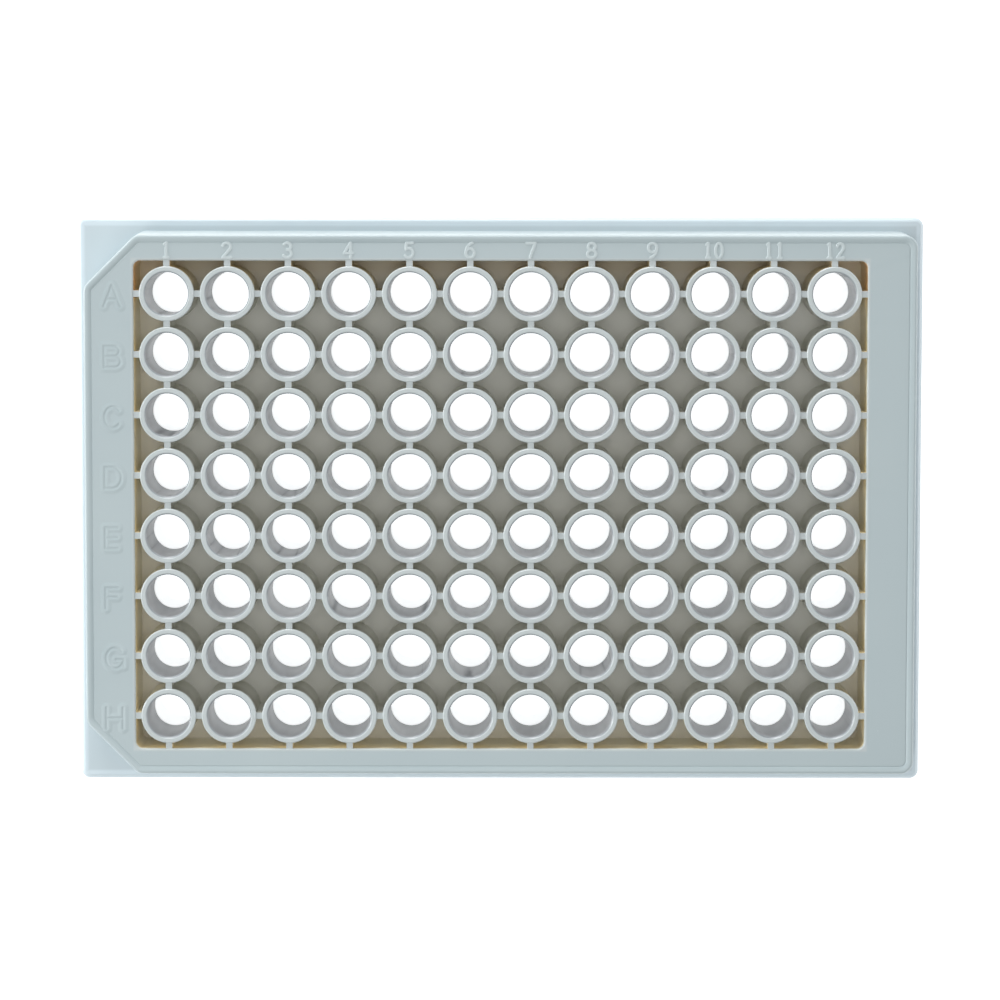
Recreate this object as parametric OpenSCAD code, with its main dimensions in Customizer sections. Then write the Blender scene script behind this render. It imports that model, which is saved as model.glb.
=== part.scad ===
// Microplate with 96 chimney wells on the standard plate footprint.
// An opaque moulded body carries the wells, and a thin clear base closes them from below.
// Millimetres. The origin is at the middle of the footprint on the table plane, +Z is up,
// columns 1 to 12 run along +X and row A lies on the +Y side.

/* [Footprint] */
// Length of the flange, along the columns
flange_l = 127.76; // [127:0.02:129]
// Width of the flange, along the rows
flange_w = 85.48; // [85:0.02:87]
// Height of the flange above the table
flange_h = 2.5; // [2:0.1:4]
// Radius of the flange's upright corners
flange_r = 1.3; // [1.1:0.1:3]
// Rounding of the flange's upper outer edge
flange_edge = 0.9; // [0.3:0.1:1]

/* [Body] */
// Height of the plate from the table to its rim
plate_h = 14.35; // [13.6:0.05:17]
// Ledge of the flange beyond the skirt at the short ends
ledge_end = 1.6; // [1.2:0.05:2.4]
// Ledge of the flange beyond the skirt along the long sides
ledge_side = 2.05; // [1.2:0.05:2.4]
// Draft angle of the skirt, in degrees
draft = 2.3; // [1:0.1:3]
// Wall thickness of the skirt
wall = 1.3; // [1:0.05:1.6]
// Radius of the skirt's upright edges at the rim
body_r = 2; // [2:0.1:3]
// Leg of the cut corners beside wells A1 and H1
corner_cut = 7.7; // [5:0.1:9]

/* [Top frame] */
// Thickness of the frame between the skirt and the well field
frame_t = 1.3; // [0.8:0.1:2]
// Least width of the frame, which limits how many wells fit
frame_min = 3; // [2.8:0.1:4]
// Width of the crowned rim round the frame
rim_w = 1.05; // [1:0.05:1.5]
// Height of the rim's crest above the frame
rim_h = 0.15; // [0.05:0.01:0.3]
// Rounding of the rim's outer edge
rim_edge = 0.4; // [0.2:0.05:0.6]
// Width of the fine gutter at the foot of the rim
gutter_w = 0.2; // [0.15:0.05:0.4]
// Depth of the gutter
gutter_h = 0.04; // [0.02:0.01:0.1]

/* [Wells] */
// Number of wells along the plate, where they fit
columns = 12; // [2:1:12]
// Number of wells across the plate, where they fit
rows = 8; // [2:1:8]
// Distance between the middles of neighbouring wells
pitch = 9; // [8.8:0.05:9.1]
// Bore of a well just under its rim
well_top_d = 6.4; // [6:0.05:6.8]
// Bore of a well at its floor
well_floor_d = 6.2; // [5.8:0.05:6.6]
// Outer diameter of a chimney
chimney_d = 8.16; // [7.8:0.02:8.5]
// Rise of the chimneys above the frame
chimney_rise = 0.15; // [0.05:0.05:0.5]
// Bevel of a chimney's inner edge
chimney_inner_bevel = 0.25; // [0.1:0.05:0.35]
// Bevel of a chimney's outer edge
chimney_outer_bevel = 0.15; // [0.05:0.05:0.3]

/* [Well field] */
// Gap between the outer chimneys and the field's wall
field_gap = 0.82; // [0.4:0.02:1.2]
// Radius of the field's corners
field_r = 1; // [0.5:0.1:2]
// Thickness of the wall round the field
field_wall = 1.2; // [0.8:0.1:1.6]
// Thickness of the deck between the chimneys
deck_t = 1; // [0.6:0.1:2]
// Thickness of the webs between neighbouring chimneys
web_t = 0.95; // [0.6:0.05:1.4]
// Depth of the webs' tops below the frame
web_drop = 0.15; // [0:0.05:1]
// Rounding of the frame's edge at the mouth of the field
mouth_edge = 0.3; // [0.1:0.05:0.6]

/* [Underside] */
// Height of the well floors above the table
floor_z = 1.9; // [1.7:0.05:3]
// Thickness of the clear base
base_t = 0.2; // [0.1:0.02:0.3]
// Depth of the recess that holds the clear base
base_recess = 0.3; // [0.3:0.05:0.4]
// Rim of the moulding left round the clear base
base_rim = 0.8; // [0.4:0.1:1.2]
// Clearance round the clear base in its recess
base_gap = 0.1; // [0.05:0.05:0.3]
// Depth of the stacking step inside the flange
stack_depth = 1.2; // [0.8:0.05:1.3]
// Clearance of the stacking step round the rim of the plate below
stack_gap = 0.25; // [0.1:0.05:0.4]
// Thickness of the stiffening ribs under the frame
stiffener_t = 1; // [0.6:0.1:1.4]
// Wells from one stiffening rib to the next
stiffener_step = 3; // [1:1:4]

/* [Hidden] */
$fn = 48;

// Segments of a quarter turn in the drawn outlines
arc_n = 8;
// Overlap that keeps cuts clear of coincident faces
cut = 0.5;

// Skirt at the rim and at its foot on the flange
lean = (plate_h - flange_h) * tan(draft);
rim_l = flange_l - 2 * (ledge_end + lean);
rim_wd = flange_w - 2 * (ledge_side + lean);
frame_z = plate_h - rim_h;
chimney_z = frame_z + chimney_rise;

// Wells that fit inside the frame, and the inner faces of their field
well_room = chimney_d + 2 * field_gap;
columns_fit = min(columns, floor((rim_l - 2 * frame_min - well_room) / pitch) + 1);
rows_fit = min(rows, floor((rim_wd - 2 * frame_min - well_room) / pitch) + 1);
field_l = (columns_fit - 1) * pitch + well_room;
field_w = (rows_fit - 1) * pitch + well_room;
tub_l = field_l + 2 * field_wall;
tub_w = field_w + 2 * field_wall;
tub_r = field_r + field_wall;
tub_z = floor_z - base_recess;

// Half width of the skirt's outline at height z, outwards from the spine
function skirt_out(z) = body_r + (plate_h - z) * tan(draft);
function skirt_in(z) = skirt_out(z) - wall;

// Points of an arc from angle a to angle b
function arc(c, r, a, b, n = arc_n) =
    [for (i = [0:n]) let (t = a + (b - a) * i / n) c + r * [cos(t), sin(t)]];

// Middles of n wells in a line
function places(n) = [for (i = [0:n - 1]) (i - (n - 1) / 2) * pitch];

// A spine is the closed loop of an outline's corner centres, anticlockwise
function box_spine(l, w, r) =
    let (x = l / 2 - r, y = w / 2 - r) [[x, y], [-x, y], [-x, -y], [x, -y]];

// The skirt's spine has two corners more, where A1 and H1 are cut
function skirt_spine() =
    let (x = rim_l / 2 - body_r, y = rim_wd / 2 - body_r,
         c = corner_cut - (2 - sqrt(2)) * body_r)
    [[x, y], [c - x, y], [-x, y - c], [-x, c - y], [c - x, -y], [x, -y]];

// Direction that the edge after corner i faces, and the turn at corner i
function facing(s, i) =
    let (k = i % len(s), e = s[(k + 1) % len(s)] - s[k]) atan2(-e.x, e.y);
function turn(s, i) = (facing(s, i) - facing(s, i + len(s) - 1) + 360) % 360;

// Sweeps a profile of (distance from the spine, height) round a spine
module sweep(s) {
    for (i = [0:len(s) - 1]) {
        b = facing(s, i);
        q = s[(i + 1) % len(s)];
        translate([q.x, q.y, 0]) rotate([90, 0, b])
            linear_extrude(norm(q - s[i])) children();
        translate([s[i].x, s[i].y, 0]) rotate([0, 0, b - turn(s, i)])
            rotate_extrude(angle = turn(s, i)) children();
    }
}

// Slab whose outline keeps a distance d from a spine
module slab(s, d, z0, z1) {
    translate([0, 0, z0]) {
        linear_extrude(z1 - z0) polygon(s);
        sweep(s) square([d, z1 - z0]);
    }
}

module each_well() {
    for (x = places(columns_fit), y = places(rows_fit)) translate([x, y, 0]) children();
}

// Flange: a band with a rounded upper edge and the ledge that joins it to the skirt
module flange() {
    s = box_spine(flange_l, flange_w, flange_r);
    difference() {
        union() {
            sweep(s) polygon(concat(
                [[0, 0], [flange_r, 0]],
                arc([flange_r - flange_edge, flange_h - flange_edge], flange_edge, 0, 90),
                [[0, flange_h]]));
            slab(s, flange_r / 2, 0, flange_h);
        }
        slab(skirt_spine(), skirt_out(flange_h) - wall / 2, -cut, flange_h + cut);
        slab(box_spine(rim_l + 2 * stack_gap, rim_wd + 2 * stack_gap, body_r),
             body_r, -cut, stack_depth);
    }
}

// Skirt and rim, drawn as one section of the moulding. The rim's top is an arc that is level
// at the crest and falls to the gutter at the rim's foot.
module skirt() {
    under = frame_z - frame_t;
    crest = body_r - rim_edge;
    foot = body_r - rim_w;
    crown_r = (pow(crest - foot, 2) + pow(rim_h, 2)) / (2 * rim_h);
    sweep(skirt_spine()) polygon(concat(
        [[skirt_in(stack_depth), stack_depth], [skirt_out(stack_depth), stack_depth]],
        arc([crest, plate_h - rim_edge], rim_edge, 0, 90),
        arc([crest, plate_h - crown_r], crown_r, 90, 90 + acos(1 - rim_h / crown_r)),
        [[foot - gutter_w / 2, frame_z - gutter_h], [foot - gutter_w, frame_z],
         [foot - gutter_w, under], [skirt_in(under), under]]));
}

// Frame between the rim and the field, whose mouth has a rounded edge
module frame() {
    s = box_spine(field_l, field_w, field_r);
    r = mouth_edge;
    difference() {
        slab(skirt_spine(), body_r - rim_w - gutter_w, frame_z - frame_t, frame_z);
        slab(s, field_r, frame_z - frame_t - cut, frame_z + cut);
        sweep(s) polygon(concat(
            [[0, frame_z + cut], [0, frame_z - r]],
            arc([field_r + r, frame_z - r], r, 180, 90),
            [[field_r + r, frame_z + cut]]));
    }
}

// Tub: the field's wall and the deck that the chimneys stand on
module tub() {
    s = box_spine(tub_l, tub_w, tub_r);
    difference() {
        slab(s, tub_r, tub_z, frame_z - frame_t / 2);
        slab(box_spine(field_l, field_w, field_r), field_r, floor_z + deck_t, frame_z);
        slab(s, tub_r - base_rim, tub_z - cut, floor_z);
    }
}

module webs() {
    z0 = floor_z + deck_t / 2;
    h = frame_z - web_drop - z0;
    for (x = places(columns_fit)) translate([x, 0, z0 + h / 2])
        cube([web_t, field_w + field_wall, h], center = true);
    for (y = places(rows_fit)) translate([0, y, z0 + h / 2])
        cube([field_l + field_wall, web_t, h], center = true);
}

module chimney() {
    r = chimney_d / 2;
    b = chimney_outer_bevel;
    rotate_extrude() polygon([[0, floor_z], [r, floor_z], [r, chimney_z - b],
                              [r - b, chimney_z], [0, chimney_z]]);
}

module bore() {
    b = chimney_inner_bevel;
    taper = (well_top_d - well_floor_d) / 2 / (chimney_z - floor_z);
    rotate_extrude() polygon([[0, floor_z - cut], [well_floor_d / 2 - taper * cut, floor_z - cut],
                              [well_top_d / 2, chimney_z - b],
                              [well_top_d / 2 + b + cut, chimney_z + cut], [0, chimney_z + cut]]);
}

// Ribs that stiffen the frame between the tub and the skirt
module stiffeners() {
    h = frame_z - frame_t / 2 - stack_depth;
    z = stack_depth + h / 2;
    reach_x = (rim_l - tub_l) / 2 + field_wall / 2 - wall / 3;
    reach_y = (rim_wd - tub_w) / 2 + field_wall / 2 - wall / 3;
    nx = floor((columns_fit - 1) / 2 / stiffener_step);
    ny = floor((rows_fit - 1) / 2 / stiffener_step);
    for (side = [-1, 1]) {
        for (k = [-nx:nx])
            translate([k * stiffener_step * pitch,
                       side * (rim_wd / 2 - wall / 3 - reach_y / 2), z])
                cube([stiffener_t, reach_y, h], center = true);
        for (k = [-ny:ny])
            translate([side * (rim_l / 2 - wall / 3 - reach_x / 2),
                       k * stiffener_step * pitch, z])
                cube([reach_x, stiffener_t, h], center = true);
    }
}

module plate_body() {
    color([0.72, 0.77, 0.79]) difference() {
        union() {
            flange();
            skirt();
            frame();
            tub();
            stiffeners();
            webs();
            each_well() chimney();
        }
        each_well() bore();
    }
}

module clear_base() {
    s = box_spine(tub_l, tub_w, tub_r);
    color([0.93, 0.96, 0.97, 0.35])
        slab(s, tub_r - base_rim - base_gap, floor_z - base_t, floor_z);
}

plate_body();
clear_base();
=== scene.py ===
# %% [markdown]
# # A 96-well plate under soft studio light
#
# The object is a laboratory well plate: one pale, slightly cloudy plastic moulding with 96 round
# wells, and a thin clear sheet bonded under it that closes every well. The solids come from the
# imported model. This lesson dresses them: camera, floor, light, plastics, and the numbers and
# letters that tell one well from another.
#
# All sizes here are metres, in the plate's own frame. The middle of the footprint is the origin,
# +X runs along the columns, row A lies on the +Y side and +Z points up out of the wells.

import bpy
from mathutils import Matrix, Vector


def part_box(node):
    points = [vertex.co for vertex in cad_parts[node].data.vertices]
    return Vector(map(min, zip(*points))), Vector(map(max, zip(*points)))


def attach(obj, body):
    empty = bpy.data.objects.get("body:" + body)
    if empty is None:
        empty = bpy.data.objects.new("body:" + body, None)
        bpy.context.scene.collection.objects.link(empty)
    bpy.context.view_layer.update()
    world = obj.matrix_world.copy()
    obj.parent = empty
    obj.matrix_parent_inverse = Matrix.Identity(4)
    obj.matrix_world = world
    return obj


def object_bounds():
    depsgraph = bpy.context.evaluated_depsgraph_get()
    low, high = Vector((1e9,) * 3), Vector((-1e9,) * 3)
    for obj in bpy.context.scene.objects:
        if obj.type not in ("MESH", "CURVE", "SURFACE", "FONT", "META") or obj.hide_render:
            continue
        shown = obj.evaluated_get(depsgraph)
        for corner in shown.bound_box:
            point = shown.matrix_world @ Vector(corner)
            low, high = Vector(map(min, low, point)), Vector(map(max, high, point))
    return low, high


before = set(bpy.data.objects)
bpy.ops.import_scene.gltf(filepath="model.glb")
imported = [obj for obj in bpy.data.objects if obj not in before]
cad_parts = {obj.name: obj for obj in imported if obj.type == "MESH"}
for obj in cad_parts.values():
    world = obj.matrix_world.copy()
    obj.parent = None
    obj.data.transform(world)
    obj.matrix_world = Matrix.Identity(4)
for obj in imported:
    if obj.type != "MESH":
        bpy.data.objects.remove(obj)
print("nodes", sorted(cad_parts))

# %% [markdown]
# ## What the solids tell us
#
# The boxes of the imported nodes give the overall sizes. Measuring them keeps the lesson in step with
# the model, where typed sizes would go stale. A few inner sizes can't be read from a box, so they
# are stated: by the plates' standard the wells stand 9 mm apart in 12 columns and 8 rows. On this
# model the crest of the rim stands 0.15 mm above the frame that carries the numbers, and the sunk
# field of wells reaches 54.4 and 36.4 mm from the middle.

# %% Sizes of the plate
from math import cos, hypot, radians, sin

import bpy
from mathutils import Vector

MM = 0.001
CAD_LOW, CAD_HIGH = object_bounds()
PITCH = 9 * MM
COLUMNS, ROWS = 12, 8
CREST_HEIGHT = 0.15 * MM
FRAME_Z = CAD_HIGH.z - CREST_HEIGHT
FIELD_X, FIELD_Y = 54.4 * MM, 36.4 * MM
WELL_FLOOR_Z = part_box("clear_base")[1].z
print("plate from", tuple(CAD_LOW), "to", tuple(CAD_HIGH))
print("frame at height", round(FRAME_Z, 5), "and floors of the wells at", round(WELL_FLOOR_Z, 5))

# %% [markdown]
# ## The camera
#
# A catalogue picture of a plate is taken from straight above with a long lens, so that the wells
# stay round and the rows stay parallel. The lens here hangs some 60 cm up, and a little behind
# row A: so the front walls of the wells show in the lower rows. A shift lens could do the same,
# but a small tilt keeps the picture honest from every other side too.

# %% Camera
LENS_LENGTH, SENSOR_WIDTH = 139.8, 36
CAMERA_PLACE = (-1.2 * MM, 47.8 * MM, 589.9 * MM)
CAMERA_TURN = (-0.0813, -0.0019, 0.0010)
camera_data = bpy.data.cameras.new("camera")
camera_data.lens = LENS_LENGTH
camera_data.sensor_width = SENSOR_WIDTH
camera_data.clip_start = 0.01
camera = bpy.data.objects.new("camera", camera_data)
camera.location = CAMERA_PLACE
camera.rotation_euler = CAMERA_TURN
bpy.context.scene.collection.objects.link(camera)
bpy.context.scene.camera = camera
bpy.context.scene.view_settings.view_transform = "Standard"
print("camera", tuple(round(v, 4) for v in camera.location), "lens", LENS_LENGTH)

# %% [markdown]
# ## Short words for shader nodes
#
# A material is a small machine of nodes and wires. Written out in full it takes a page, so three
# helpers do the wiring: one adds a node, one joins a value or a wire to a socket, and one makes a
# Math node and hands back its result, so that a formula reads almost as it does on paper. A fourth
# makes the bare material that they fill.

# %% Helpers that add and join nodes


def add(tree, kind, **settings):
    made = tree.nodes.new(kind)
    for name, value in settings.items():
        setattr(made, name, value)
    return made


def feed(tree, socket, value):
    """Joins a wire to a socket, or sets the socket when value is a plain number or colour."""
    if isinstance(value, bpy.types.NodeSocket):
        tree.links.new(value, socket)
    else:
        socket.default_value = value


def calc(tree, operation, *values):
    made = add(tree, "ShaderNodeMath", operation=operation)
    for socket, value in zip(made.inputs, values):
        feed(tree, socket, value)
    return made.outputs[0]


def new_material(name):
    """A material with a bare Principled shader. Returns it, its tree and the shader's inputs."""
    material = bpy.data.materials.new(name)
    material.use_nodes = True
    return material, material.node_tree, material.node_tree.nodes["Principled BSDF"].inputs


print("helpers", [helper.__name__ for helper in (add, feed, calc, new_material)])

# %% [markdown]
# ## Floor
#
# The plate lies on plain white. A real white sweep is a painted surface: lit by the lamps, darker
# where the plate keeps the light off. Turning the lamps up until it burns out would bleach the
# plate as well, so the floor's own glow, seen only by the camera, in gloss and through clear
# plastic, adds what is missing up to white. The painted part still takes the shadow.
#
# Light that has already bounced off the plate must not meet that glow, or it would shine up through
# the clear base and light the wells from below: hence the test of the diffuse depth. As the glow
# then lights nothing, the renderer is told not to treat the floor as a lamp, which saves time.

# %% Floor
FLOOR_HALF = 4.0
FLOOR_PAINT, FLOOR_ROUGHNESS = 0.8, 0.9
CAMERA_GLOW = 0.8
WHITE = (1.0, 1.0, 1.0, 1.0)


def floor_material():
    material, tree, shader = new_material("floor_paint")
    shader["Base Color"].default_value = (FLOOR_PAINT, FLOOR_PAINT, FLOOR_PAINT, 1.0)
    shader["Roughness"].default_value = FLOOR_ROUGHNESS
    path = add(tree, "ShaderNodeLightPath").outputs
    glow = calc(tree, "MULTIPLY", path["Is Camera Ray"], CAMERA_GLOW)
    through = calc(tree, "MAXIMUM", path["Is Glossy Ray"], path["Is Transmission Ray"])
    direct = calc(tree, "LESS_THAN", path["Diffuse Depth"], 0.5)
    glow = calc(tree, "MAXIMUM", glow, calc(tree, "MULTIPLY", through, direct))
    shader["Emission Color"].default_value = WHITE
    feed(tree, shader["Emission Strength"], glow)
    material.cycles.emission_sampling = "NONE"
    return material


def make_floor():
    mesh = bpy.data.meshes.new("floor")
    corners = [(-1, -1), (1, -1), (1, 1), (-1, 1)]
    mesh.from_pydata([(x * FLOOR_HALF, y * FLOOR_HALF, CAD_LOW.z) for x, y in corners], [],
                     [(0, 1, 2, 3)])
    floor = bpy.data.objects.new("floor", mesh)
    bpy.context.scene.collection.objects.link(floor)
    mesh.materials.append(floor_material())


make_floor()
print("floor at height", CAD_LOW.z)

# %% [markdown]
# ## Light of the room
#
# A studio's walls and ceiling send light from everywhere, and they fill whatever the lamps leave
# dark. A ring of large lamps could do that, but the world's own light costs nothing. It is stronger
# near the horizon, as walls are when lamps stand on the floor, which lifts the upright faces.
#
# Light has to bounce many times from wall to wall before it comes out of a deep pale pocket, so
# eight bounces are followed: with four the pockets go dark.

# %% Room
ROOM_LIGHT = 0.31
HORIZON_LIGHT, HORIZON_REACH = 1.2, 0.35
bpy.context.scene.cycles.diffuse_bounces = 8


def ramp(tree, value, start, end, low=0.0, high=1.0):
    """A soft step: low until value reaches start, high past end."""
    made = add(tree, "ShaderNodeMapRange", interpolation_type="SMOOTHSTEP")
    for socket, number in zip(made.inputs, (value, start, end, low, high)):
        feed(tree, socket, number)
    return made.outputs[0]


def make_room():
    world = bpy.data.worlds.new("room")
    bpy.context.scene.world = world
    world.use_nodes = True
    tree = world.node_tree
    background = tree.nodes["Background"].inputs
    background["Color"].default_value = WHITE
    direction = add(tree, "ShaderNodeSeparateXYZ")
    tree.links.new(add(tree, "ShaderNodeTexCoord").outputs["Generated"], direction.inputs[0])
    height = calc(tree, "ABSOLUTE", direction.outputs["Z"])
    strength = ramp(tree, height, 0.0, HORIZON_REACH, ROOM_LIGHT + HORIZON_LIGHT, ROOM_LIGHT)
    seen = add(tree, "ShaderNodeLightPath").outputs["Is Camera Ray"]
    feed(tree, background["Strength"], calc(tree, "MAXIMUM", seen, strength))


make_room()
print("room light", ROOM_LIGHT, "and at the horizon", ROOM_LIGHT + HORIZON_LIGHT)

# %% [markdown]
# ## Lamps
#
# Small rounded edges show only what they reflect. The bright line along the back and left edges
# of the rim is the reflection of a broad lamp low on that side, so one softbox stands behind
# row A and one to the left, both only a little above the bench. A weaker one on the right draws the
# edge there. A fourth hangs near the front left corner, where the plate comes out a little lighter.
# Low lamps can't see into the deep pockets between the wells, so a fifth hangs straight above.
# All strengths are balanced until a flat pale surface looks about as bright as its own colour.

# %% Lamps: place, side of the square, and power in watts
LAMPS = {
    "lamp_back": ((-0.15, 0.85, 0.20), 0.4, 5.3),
    "lamp_left": ((-0.85, 0.10, 0.22), 0.4, 3.8),
    "lamp_front_left": ((-0.30, -0.26, 0.42), 0.3, 0.95),
    "lamp_top": ((0.0, 0.0, 1.2), 0.5, 2.0),
    "lamp_right": ((0.85, 0.0, 0.12), 0.4, 2.2),
}


def softbox(name, place, size, power):
    """A square area lamp at place, turned to face the plate."""
    data = bpy.data.lights.new(name, "AREA")
    data.shape = "SQUARE"
    data.size = size
    data.energy = power
    lamp = bpy.data.objects.new(name, data)
    lamp.location = place
    lamp.rotation_euler = (-Vector(place)).to_track_quat("-Z", "Y").to_euler()
    bpy.context.scene.collection.objects.link(lamp)


for name, (place, size, power) in LAMPS.items():
    softbox(name, place, size, power)
print("lamps", list(LAMPS))

# %% [markdown]
# ## The moulded skin
#
# No moulding is perfectly smooth. Its skin repeats the tool's fine texture, and it sinks a little
# over thick ribs. An image would show its repeats up close, so the skin is two noises laid over each
# other, a fine grain and slow waves. Both plastics need it at different strengths, so it is a node
# group with its own inputs, built once.

# %% Moulded skin: fine grain over slow waves


def millimetres(tree):
    """Where a point lies on the plate, in millimetres."""
    place = add(tree, "ShaderNodeTexCoord")
    scaled = add(tree, "ShaderNodeVectorMath", operation="SCALE")
    tree.links.new(place.outputs["Object"], scaled.inputs[0])
    scaled.inputs["Scale"].default_value = 1 / MM
    return scaled.outputs[0]


def new_group(name, inputs, outputs):
    """An empty node group with named sockets. Returns it with its inner ends."""
    group = bpy.data.node_groups.new(name, "ShaderNodeTree")
    for label, value in inputs.items():
        socket = group.interface.new_socket(label, in_out="INPUT", socket_type="NodeSocketFloat")
        socket.default_value = value
    for label in outputs:
        group.interface.new_socket(label, in_out="OUTPUT", socket_type="NodeSocketFloat")
    return group, add(group, "NodeGroupInput").outputs, add(group, "NodeGroupOutput").inputs


def make_skin_group():
    group, given, result = new_group(
        "moulded_skin", {"Grain Size": 0.2, "Wave Size": 9.0, "Wave Share": 0.5},
        ["Height", "Drift"])
    place = millimetres(group)
    heights = []
    for size, detail in ((given["Grain Size"], 2.0), (given["Wave Size"], 0.0)):
        noise = add(group, "ShaderNodeTexNoise")
        group.links.new(place, noise.inputs["Vector"])
        feed(group, noise.inputs["Scale"], calc(group, "DIVIDE", 1.0, size))
        noise.inputs["Detail"].default_value = detail
        heights.append(noise.outputs["Fac"])
    grain, wave = heights
    waves = calc(group, "MULTIPLY", wave, given["Wave Share"])
    feed(group, result["Height"], calc(group, "ADD", grain, waves))
    feed(group, result["Drift"], wave)
    return group


SKIN = make_skin_group()
print("shared group", SKIN.name, [item.name for item in SKIN.interface.items_tree])

# %% [markdown]
# ## Handling marks
#
# Hands and racks leave hair scratches, and plastic draws specks of dust. They could be drawn one by
# one, which is long work for marks that hardly show. The edges of long thin cells already look like
# crossing scratches, and the middles of small cells like specks, so cell patterns do the work.

# %% Handling marks: hair scratches and dust
SCRATCH_TURNS, SCRATCH_STRETCH, SCRATCH_HALF = (0.5, 1.9), 0.04, 0.006
SPECK_RADIUS = 0.03


def make_marks_group():
    group, given, result = new_group(
        "handling_marks", {"Scratch Spacing": 6.0, "Dust Spacing": 4.0}, ["Scratches", "Dust"])
    place = millimetres(group)
    total = None
    for turn in SCRATCH_TURNS:
        turned = add(group, "ShaderNodeMapping")
        group.links.new(place, turned.inputs["Vector"])
        turned.inputs["Rotation"].default_value = (0.0, 0.0, turn)
        turned.inputs["Scale"].default_value = (SCRATCH_STRETCH, 1.0, 1.0)
        cells = add(group, "ShaderNodeTexVoronoi", feature="DISTANCE_TO_EDGE",
                    voronoi_dimensions="2D")
        group.links.new(turned.outputs[0], cells.inputs["Vector"])
        feed(group, cells.inputs["Scale"], calc(group, "DIVIDE", 1.0, given["Scratch Spacing"]))
        line = ramp(group, cells.outputs["Distance"], 0.0, SCRATCH_HALF, 1.0, 0.0)
        total = line if total is None else calc(group, "MAXIMUM", total, line)
    feed(group, result["Scratches"], total)
    specks = add(group, "ShaderNodeTexVoronoi")
    group.links.new(place, specks.inputs["Vector"])
    feed(group, specks.inputs["Scale"], calc(group, "DIVIDE", 1.0, given["Dust Spacing"]))
    dust = ramp(group, specks.outputs["Distance"], 0.0, SPECK_RADIUS, 1.0, 0.0)
    feed(group, result["Dust"], dust)
    return group


MARKS = make_marks_group()
print("shared group", MARKS.name, [item.name for item in MARKS.interface.items_tree])

# %% [markdown]
# ## Zones of the plate's plastic
#
# Such plates are usually polystyrene with a little white pigment: satin, cool and cloudy. Between
# the wells the walls are thin and light works its way through them, which takes out the blue and
# leaves a warm olive, browner near the wall of the field and orange in its corners. A true
# simulation of light in plastic would be slow and noisy, so that light is painted into the zones by
# place. The pockets are also painted darker near the top and almost white deep down, and darker
# along the back wall of the field: painted light and shade. The zones need only three measures: how
# far a point lies from the nearest bore's axis, how far it lies inside the field's wall, and how
# deep.
#
# A few small zones carry more than their size suggests. Inside a bore the wall faces only the
# opposite wall, so it is painted greyer, a painted shade that is darkest near the top and paler
# deep down, with a painted highlight, a paler lip, where the mouth's edge is bevelled. The skirt's
# ledge is painted paler and bluer than the frame, painted light, and its outermost edge, the brink,
# paler still, a painted highlight. The rims of the wells and the mouth of the field are painted a
# little paler as well, a painted highlight on their rounded edges.
#
# Most borders below are pairs, where a soft step starts and where it ends, in millimetres.

# %% Borders of the zones
PAST_BORE = (3.5, 3.7)                                      # from a bore's axis
IN_FIELD, NEAR_WALL, NEAR_CORNER = (-0.35, -0.05), (0.6, 5.0), (1.5, 9.0)   # from the wall, inwards
OVER_WALL, PAST_WALL = (-0.55, -0.25), (0.1, 0.3)
RIMS_TOP, POCKET_TOP, LIP_TOP = (0.5, 0.2), (0.45, 0.2), (0.15, 0.05)       # down from the frame
BORE_TOP, POCKET_DEPTH = (0.0, -0.12), (-0.5, 6.0)
BORE_DEPTH_FROM, BORE_DEPTH_TO = 0.4, 5.0                   # down from the frame, up from the bench
ABOVE_UNDERSIDE, LEDGE = (2.2, 2.6), (2.6, 4.5)             # up from the bench
# where the painted shade along the back wall fades in, and how strong it is
NEAR_BACK, BACK_SHADE_SHARE = (4.0, 1.0), 0.7                     # inside the back wall
# The brink, the ledge's outermost edge, gets a painted highlight beyond these distances from the
# middle.
BRINK_X, BRINK_Y, BRINK_SOFT = CAD_HIGH.x - 1.1 * MM, CAD_HIGH.y - 1.3 * MM, 0.25
print("brink", round(BRINK_X / MM, 2), "and", round(BRINK_Y / MM, 2), "mm from the middle")

# %% [markdown]
# ## Masks of the zones
#
# A mask says, for each point, how much it belongs to a zone. It could be painted on the mesh, but
# a flat face has points only along its outline, and so nothing that could hold a soft border.
# Worked out from the place it is exact everywhere. The grid of wells repeats, so one wrapped
# measure serves all 96 bores.

# %% Masks of the zones


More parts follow.
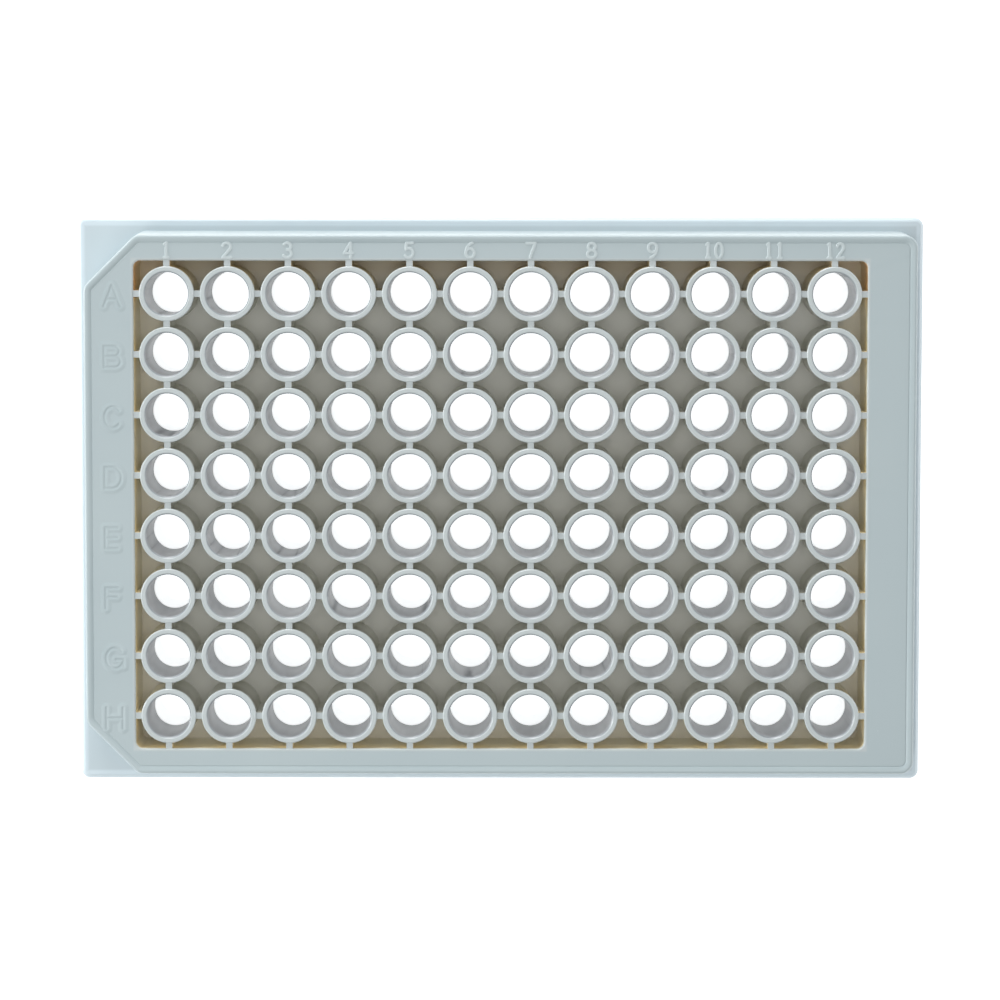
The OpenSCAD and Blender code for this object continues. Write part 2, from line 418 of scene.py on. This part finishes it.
def zones(tree):
    """Masks of the moulding's zones, from 0 to 1, made from the place of a point."""
    place = add(tree, "ShaderNodeSeparateXYZ")
    tree.links.new(millimetres(tree), place.inputs[0])
    x, y, z = place.outputs
    half = PITCH / MM / 2
    near = [calc(tree, "WRAP", calc(tree, "SUBTRACT", v, half), half, -half) for v in (x, y)]
    radius = calc(tree, "SQRT", calc(tree, "ADD", *[calc(tree, "POWER", v, 2.0) for v in near]))
    field_x, field_y, top = FIELD_X / MM, FIELD_Y / MM, FRAME_Z / MM
    from_end = calc(tree, "SUBTRACT", field_x, calc(tree, "ABSOLUTE", x))
    from_side = calc(tree, "SUBTRACT", field_y, calc(tree, "ABSOLUTE", y))
    from_wall = calc(tree, "MINIMUM", from_end, from_side)
    from_corner = calc(tree, "MAXIMUM", from_end, from_side)

    def both(first, second):
        return calc(tree, "MULTIPLY", first, second)

    def down(border, low=0.0, high=1.0):
        """A soft step in height, with the border counted down from the frame."""
        return ramp(tree, z, top - border[0], top - border[1], low, high)

    def brink(distance, edge):
        """The outermost edge, with both distances counted inwards from the field's wall."""
        return ramp(tree, distance, edge + BRINK_SOFT, edge - BRINK_SOFT)

    inside = ramp(tree, from_wall, *IN_FIELD)
    at_rims = down(RIMS_TOP)
    not_bore = ramp(tree, radius, *PAST_BORE)
    below_rims = both(down(POCKET_TOP, 1.0, 0.0), ramp(tree, z, *ABOVE_UNDERSIDE))
    in_bore = both(calc(tree, "SUBTRACT", 1.0, not_bore), down(BORE_TOP, 1.0, 0.0))
    over_wall = both(ramp(tree, from_wall, *PAST_WALL, 1.0, 0.0), at_rims)
    return {
        "pocket": both(both(inside, below_rims), not_bore),
        # the bores' walls, where painted shade goes
        "bore": both(inside, in_bore),
        "bore_lip": down(LIP_TOP),
        "depth": down(POCKET_DEPTH),
        "bore_depth": ramp(tree, z, top - BORE_DEPTH_FROM, BORE_DEPTH_TO),
        "by_wall": ramp(tree, from_wall, *NEAR_WALL, 1.0, 0.0),
        # painted shade along the back wall of the field
        "back_shade": ramp(tree, y, field_y - NEAR_BACK[0], field_y - NEAR_BACK[1], 0.0, BACK_SHADE_SHARE),
        "by_corner": both(ramp(tree, y, -field_y, field_y),
                          ramp(tree, from_corner, *NEAR_CORNER, 1.0, 0.0)),
        # rims and mouth: where a painted highlight goes
        "rims": both(inside, at_rims),
        "mouth": both(ramp(tree, from_wall, *OVER_WALL), over_wall),
        # ledge and brink: where painted light and a painted highlight go
        "ledge": ramp(tree, z, *LEDGE, 1.0, 0.0),
        "brink": calc(tree, "MAXIMUM", brink(from_end, (FIELD_X - BRINK_X) / MM),
                      brink(from_side, (FIELD_Y - BRINK_Y) / MM)),
    }


print("masks made by", zones.__name__, "for a pitch of", PITCH / MM, "mm")

# %% [markdown]
# ## Colour of the moulding
#
# One resin fills the whole mould, yet the plate shows a dozen colours: cool where the plastic is
# thick, warm where light leaks through it, grey inside the bores. A painted image would need the
# surface unrolled and would blur up close. Blending one tint into the next by the zones' masks stays
# sharp from any distance, and every tint can be set by itself. Tints are given as a screen shows
# them, which is how people pick colours.

# %% Tints, and how the zones blend them


def screen(red, green, blue):
    """A colour given as a screen shows it, 0 to 255, turned into the linear values shaders use."""
    return tuple(((v / 255 + 0.055) / 1.055) ** 2.4 for v in (red, green, blue)) + (1.0,)


TINTS = {name: screen(*levels) for name, levels in {
    # edge is the painted highlight for the rims of the wells and the mouth of the field
    "skin": (171, 186, 190), "skin_drift": (178, 192, 195), "edge": (188, 197, 198),
    # painted light on the skirt's ledge, and a painted highlight on its brink
    "ledge": (191, 205, 211), "brink": (208, 222, 229),
    # the pocket tints are painted light and shade: darker near the top, almost white deep down
    "pocket_top": (172, 171, 159), "pocket_top_wall": (252, 240, 204),
    "pocket_deep": (240, 240, 234), "pocket_deep_wall": (255, 252, 241),
    # back is painted shade along the back wall of the field
    "corner_top": (248, 214, 158), "corner_deep": (255, 248, 228), "back": (222, 211, 181),
    # painted shade in the bores, darkest at the top, and a painted highlight on their lip
    "bore": (118, 124, 131), "bore_deep": (196, 202, 208), "lip_highlight": (152, 159, 164),
    # dust is real dust; the second tint paints the raised numbers paler, a painted highlight
    "dust": (230, 233, 233), "number_highlight": (220, 229, 229),
}.items()}
# the mouth's share of the painted highlight, and the share of real dust
MOUTH_SHARE, DUST_SHARE = 0.8, 0.25


def blend_colour(tree, share, first, second):
    made = add(tree, "ShaderNodeMix", data_type="RGBA")
    feed(tree, made.inputs["Factor"], share)
    feed(tree, made.inputs[6], first)
    feed(tree, made.inputs[7], second)
    return made.outputs[2]


def moulding_colour(tree, zone, drift, dust):
    """The moulding's colour, zone by zone."""
    def blend(share, first, second):
        ends = [TINTS[end] if isinstance(end, str) else end for end in (first, second)]
        return blend_colour(tree, share, *ends)

    cool = blend(drift, "skin", "skin_drift")
    # Painted light: the skirt's ledge is painted paler and bluer than the frame, and its brink paler
    # still, a painted highlight.
    ledge = blend(zone["brink"], "ledge", "brink")
    cool = blend(zone["ledge"], cool, ledge)
    # Painted highlight: the rims of the wells and the mouth of the field are painted paler, for the
    # light their rounded edges catch.
    mouth = calc(tree, "MULTIPLY", zone["mouth"], MOUTH_SHARE)
    cool = blend(calc(tree, "MAXIMUM", zone["rims"], mouth), cool, "edge")
    # Painted light and shade: the pockets are darker near the top and almost white deep down.
    warm_top = blend(zone["by_wall"], "pocket_top", "pocket_top_wall")
    warm_deep = blend(zone["by_wall"], "pocket_deep", "pocket_deep_wall")
    warm = blend(zone["depth"], warm_top, warm_deep)
    orange = blend(zone["depth"], "corner_top", "corner_deep")
    # Painted shade: the pockets along the back wall of the field are painted darker.
    warm = blend(zone["back_shade"], warm, "back")
    warm = blend(calc(tree, "MULTIPLY", zone["by_wall"], zone["by_corner"]), warm, orange)
    # Painted shade in the bores: darkest near the top and paler deep down, with a painted highlight
    # on the bevelled lip.
    bore = blend(zone["bore_depth"], "bore", "bore_deep")
    bore = blend(zone["bore_lip"], bore, "lip_highlight")
    colour = blend(zone["pocket"], cool, warm)
    colour = blend(zone["bore"], colour, bore)
    return blend(calc(tree, "MULTIPLY", dust, DUST_SHARE), colour, "dust")


print("tints", " ".join(TINTS))

# %% [markdown]
# ## The plate's plastic
#
# What the moulding reflects depends on its skin: satin, a shade duller where it has sunk, and duller
# again along a scratch. Roughness and a very fine bump carry that, over the colour made above. The
# bump is a hundredth of a millimetre at most, far too little to model. The raised numbers are
# painted paler, a painted highlight, so the same recipe is made twice, once plain and once paler.

# %% Plate plastic
SATIN, SATIN_DRIFT, SCRATCH_DULLING = 0.28, 0.12, 0.12
PLASTIC_INDEX = 1.55
BUMP_STRENGTH, BUMP_HEIGHT = 0.35, 0.01 * MM
# how far the numbers are painted paler, a painted highlight
NUMBER_HIGHLIGHT_SHARE = 0.28


def use_group(tree, group, **values):
    made = add(tree, "ShaderNodeGroup", node_tree=group)
    for label, value in values.items():
        feed(tree, made.inputs[label.replace("_", " ")], value)
    return made.outputs


def add_bump(tree, shader, height, strength):
    """Lets the height of a skin tilt the surface's normal a little."""
    bump = add(tree, "ShaderNodeBump")
    bump.inputs["Strength"].default_value = strength
    bump.inputs["Distance"].default_value = BUMP_HEIGHT
    feed(tree, bump.inputs["Height"], height)
    feed(tree, shader["Normal"], bump.outputs[0])


def plate_plastic(name, number_highlight=0.0):
    """The moulding's plastic. The second argument, 0 to 1, paints it paler: a painted highlight."""
    material, tree, shader = new_material(name)
    skin = use_group(tree, SKIN, Grain_Size=0.25, Wave_Size=11.0, Wave_Share=2.0)
    marks = use_group(tree, MARKS, Scratch_Spacing=7.0, Dust_Spacing=5.0)
    colour = moulding_colour(tree, zones(tree), skin["Drift"], marks["Dust"])
    # the given share paints the colour paler: the painted highlight of the raised numbers
    feed(tree, shader["Base Color"], blend_colour(tree, number_highlight, colour, TINTS["number_highlight"]))
    rough = calc(tree, "MULTIPLY_ADD", skin["Drift"], SATIN_DRIFT, SATIN)
    rough = calc(tree, "MULTIPLY_ADD", marks["Scratches"], SCRATCH_DULLING, rough)
    feed(tree, shader["Roughness"], rough)
    shader["IOR"].default_value = PLASTIC_INDEX
    add_bump(tree, shader, skin["Height"], BUMP_STRENGTH)
    return material


PLATE_PLASTIC = plate_plastic("plate_plastic")
# the numbers' plastic, painted paler: a painted highlight
HIGHLIT_NUMBER_PLASTIC = plate_plastic("highlit_number_plastic", NUMBER_HIGHLIGHT_SHARE)
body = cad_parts["plate_body"]
body.data.materials.clear()
body.data.materials.append(PLATE_PLASTIC)
print("plate body", len(body.data.vertices), "vertices")

# %% [markdown]
# ## Numbers and letters
#
# Columns are numbered along the back of the frame, and rows are lettered down its left side. Both
# are part of the mould. Painted marks would look flat, and a typeface would bring someone's design
# with it, so the marks are plain lines and bows, drawn on a unit square.

# %% Strokes of the marks


def bow(x, y, reach_x, reach_y, start, end, steps=14):
    """Part of an ellipse round (x, y), from one angle to another, in degrees."""
    turns = [radians(start + (end - start) * k / steps) for k in range(steps + 1)]
    return [(x + reach_x * cos(turn), y + reach_y * sin(turn)) for turn in turns]


STEM = [(0, 0), (0, 1)]
STROKES = {
    "0": [bow(0.5, 0.5, 0.46, 0.5, 0, 360, 24)],
    "1": [[(0.34, 0.9), (0.52, 1.0), (0.52, 0.0)], [(0.3, 0.0), (0.74, 0.0)]],
    "2": [bow(0.48, 0.72, 0.42, 0.28, 165, -35) + [(0.06, 0.0), (0.94, 0.0)]],
    "3": [bow(0.45, 0.76, 0.4, 0.24, 150, -90), bow(0.45, 0.27, 0.46, 0.27, 90, -150)],
    "4": [[(0.72, 0.0), (0.72, 1.0), (0.04, 0.3), (0.98, 0.3)]],
    "5": [[(0.86, 1.0), (0.2, 1.0), (0.14, 0.56)], bow(0.44, 0.32, 0.48, 0.32, 128, -145)],
    "6": [bow(0.5, 0.31, 0.46, 0.31, 0, 360, 24), bow(0.86, 0.31, 0.82, 0.69, 180, 100)],
    "7": [[(0.04, 1.0), (0.96, 1.0), (0.4, 0.0)]],
    "8": [bow(0.5, 0.76, 0.38, 0.24, 0, 360, 24), bow(0.5, 0.26, 0.46, 0.26, 0, 360, 24)],
    "9": [bow(0.5, 0.69, 0.46, 0.31, 0, 360, 24), bow(0.14, 0.69, 0.82, 0.69, 0, -80)],
    "A": [[(0, 0), (0.5, 1), (1, 0)], [(0.19, 0.36), (0.81, 0.36)]],
    "B": [STEM, [(0, 1), (0.6, 1)], bow(0.6, 0.76, 0.32, 0.24, 90, -90), [(0, 0.52), (0.64, 0.52)],
          bow(0.64, 0.26, 0.36, 0.26, 90, -90), [(0, 0), (0.64, 0)]],
    "C": [bow(0.5, 0.5, 0.5, 0.5, 42, 318, 20)],
    "D": [STEM, [(0, 1), (0.45, 1)], bow(0.45, 0.5, 0.55, 0.5, 90, -90, 20), [(0, 0), (0.45, 0)]],
    "E": [STEM, [(0, 1), (0.76, 1)], [(0, 0.52), (0.72, 0.52)], [(0, 0), (0.76, 0)]],
    "F": [STEM, [(0, 1), (0.76, 1)], [(0, 0.56), (0.7, 0.56)]],
    "G": [bow(0.54, 0.5, 0.54, 0.5, 42, 345, 22), [(0.6, 0.44), (1.06, 0.44), (1.06, 0.1)]],
    "H": [STEM, [(1, 0), (1, 1)], [(0, 0.5), (1, 0.5)]],
}
print("marks", " ".join(STROKES))

# %% [markdown]
# ## Relief from the distance to the strokes
#
# A mould cuts its marks with a small round tool, so their flanks slope softly. Cutting such forms
# into the moulding would leave awkward corners wherever strokes cross. Here each mark is a thin
# grid laid on the frame, and the height of each of its points follows from a single number: how far
# it lies from the nearest stroke. Corners and crossings come out clean by themselves.

# %% Relief from the distance to the strokes


def distance(x, y, segments):
    """Shortest way from a point to a list of straight pieces, as (start, end) pairs."""
    best = 1.0
    for (ax, ay), (bx, by) in segments:
        dx, dy = bx - ax, by - ay
        share = ((x - ax) * dx + (y - ay) * dy) / (dx * dx + dy * dy)
        share = min(1.0, max(0.0, share))
        best = min(best, hypot(x - ax - share * dx, y - ay - share * dy))
    return best


def soft(value, start, end):
    """A soft step from 0 at start to 1 at end."""
    share = min(1.0, max(0.0, (value - start) / (end - start)))
    return share * share * (3 - 2 * share)


def relief(name, lines, reach, step, height, material):
    """A mesh over the lines' surroundings whose height above the frame is height(distance)."""
    segments = [pair for line in lines for pair in zip(line, line[1:])]
    points = [point for line in lines for point in line]
    low = [min(p[axis] for p in points) - reach for axis in (0, 1)]
    high = [max(p[axis] for p in points) + reach for axis in (0, 1)]
    count = [int((high[axis] - low[axis]) / step) + 2 for axis in (0, 1)]
    places = [(low[0] + i * step, low[1] + j * step)
              for j in range(count[1]) for i in range(count[0])]
    away = [distance(x, y, segments) for x, y in places]
    faces = []
    for j in range(count[1] - 1):
        for i in range(count[0] - 1):
            k = j * count[0] + i
            face = (k, k + 1, k + 1 + count[0], k + count[0])
            if min(away[v] for v in face) < reach:
                faces.append(face)
    used = sorted({v for face in faces for v in face})
    order = {v: n for n, v in enumerate(used)}
    mesh = bpy.data.meshes.new(name)
    mesh.from_pydata([(*places[v], FRAME_Z + height(away[v])) for v in used], [],
                     [[order[v] for v in face] for face in faces])
    mesh.shade_smooth()
    mesh.materials.append(material)
    piece = bpy.data.objects.new(name, mesh)
    bpy.context.scene.collection.objects.link(piece)
    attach(piece, "root")
    return len(faces)


print("soft flank", [round(soft(k / 4, 0.0, 1.0), 2) for k in range(5)])

# %% [markdown]
# ## Column numbers
#
# The numbers stand up from the frame by a tenth of a millimetre, and they are painted a little
# paler than the frame, a painted highlight for the light their raised tops catch. Each is centred
# over its column, and the two digits of 10, 11 and 12 are narrower so that they fit.

# %% Column numbers
NUMBER_WIDTH, NUMBER_HEIGHT = 1.35 * MM, 2.15 * MM
NUMBER_Y, DIGIT_GAP = FIELD_Y + 1.55 * MM, 0.55 * MM
NARROW = 0.8
NUMBER_RISE, NUMBER_FALL = 0.1, 0.12
STROKE_HALF, STROKE_SIDE = 0.16 * MM, 0.1 * MM
NUMBER_STEP = 0.04 * MM


def well_centre(column, row):
    """Middle of a well, both counted from 0: column 1 is on the -X side, row A on the +Y side."""
    return (column - (COLUMNS - 1) / 2) * PITCH, ((ROWS - 1) / 2 - row) * PITCH


def spell(text, x, y, width, height, gap):
    """Lines of a text centred on x, y, in metres, with each mark as wide and high as told."""
    start = x - (len(text) * width + (len(text) - 1) * gap) / 2
    lines = []
    for n, mark in enumerate(text):
        left = start + n * (width + gap)
        lines += [[(left + u * width, y + (v - 0.5) * height) for u, v in line]
                  for line in STROKES[mark]]
    return lines


def raised(away):
    return (NUMBER_RISE - NUMBER_FALL * soft(away, STROKE_HALF, STROKE_HALF + STROKE_SIDE)) * MM


faces = 0
for column in range(COLUMNS):
    x, _ = well_centre(column, 0)
    text = str(column + 1)
    width = NUMBER_WIDTH if len(text) == 1 else NARROW * NUMBER_WIDTH
    lines = spell(text, x, NUMBER_Y, width, NUMBER_HEIGHT, DIGIT_GAP)
    # the numbers take the plastic that is painted paler, a painted highlight
    faces += relief("number_" + text, lines, STROKE_HALF + STROKE_SIDE, NUMBER_STEP, raised,
                    HIGHLIT_NUMBER_PLASTIC)
print("numbers", COLUMNS, "with", faces, "faces")

# %% [markdown]
# ## Row letters
#
# The letters are lines sunk in a barely raised patch, which is why they show only by their
# shading. The patch ends a hair below the frame, so that its edge never shows as a step. Each letter
# stands a little lower than the middle of its row.

# %% Row letters
LETTER_WIDTH, LETTER_HEIGHT = 2.45 * MM, 3.1 * MM
LETTER_X, LETTER_DROP = -FIELD_X - 3.15 * MM, 0.35 * MM
GROOVE_DEPTH, PATCH_FALL = 0.065, 0.075
GROOVE_HALF, PATCH_REACH = 0.3 * MM, 1.0 * MM
LETTER_STEP = 0.075 * MM


def sunk(away):
    groove = GROOVE_DEPTH * soft(away, 0.0, GROOVE_HALF)
    return (groove - PATCH_FALL * soft(away, GROOVE_HALF, PATCH_REACH)) * MM


faces = 0
for row, letter in enumerate("ABCDEFGH"[:ROWS]):
    _, y = well_centre(0, row)
    lines = spell(letter, LETTER_X, y - LETTER_DROP, LETTER_WIDTH, LETTER_HEIGHT, 0.0)
    faces += relief("letter_" + letter, lines, PATCH_REACH, LETTER_STEP, sunk, PLATE_PLASTIC)
print("letters", ROWS, "with", faces, "faces")

# %% [markdown]
# ## The clear base
#
# The wells are closed by a plastic sheet 0.2 mm thick. It is clear, so its colour stays almost
# white and light passes through. A perfect sheet would hardly be seen. What gives it away is gloss,
# a faint unevenness and the odd scratch, so it shares the moulding's skin and marks, only weaker.

# %% Clear base
FILM_GLOSS, FILM_SCRATCH, FILM_BUMP = 0.02, 0.1, 0.1
FILM_TINT, FILM_INDEX = (0.96, 0.985, 0.99, 1.0), 1.5


def clear_film():
    material, tree, shader = new_material("clear_film")
    marks = use_group(tree, MARKS, Scratch_Spacing=9.0, Dust_Spacing=6.0)
    skin = use_group(tree, SKIN, Grain_Size=3.0, Wave_Size=14.0, Wave_Share=1.0)
    shader["Base Color"].default_value = FILM_TINT
    shader["Transmission Weight"].default_value = 1.0
    shader["IOR"].default_value = FILM_INDEX
    rough = calc(tree, "MULTIPLY_ADD", marks["Scratches"], FILM_SCRATCH, FILM_GLOSS)
    feed(tree, shader["Roughness"], rough)
    add_bump(tree, shader, skin["Height"], FILM_BUMP)
    return material


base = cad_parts["clear_base"]
base.data.materials.clear()
base.data.materials.append(clear_film())
print("clear base", len(base.data.vertices), "vertices")
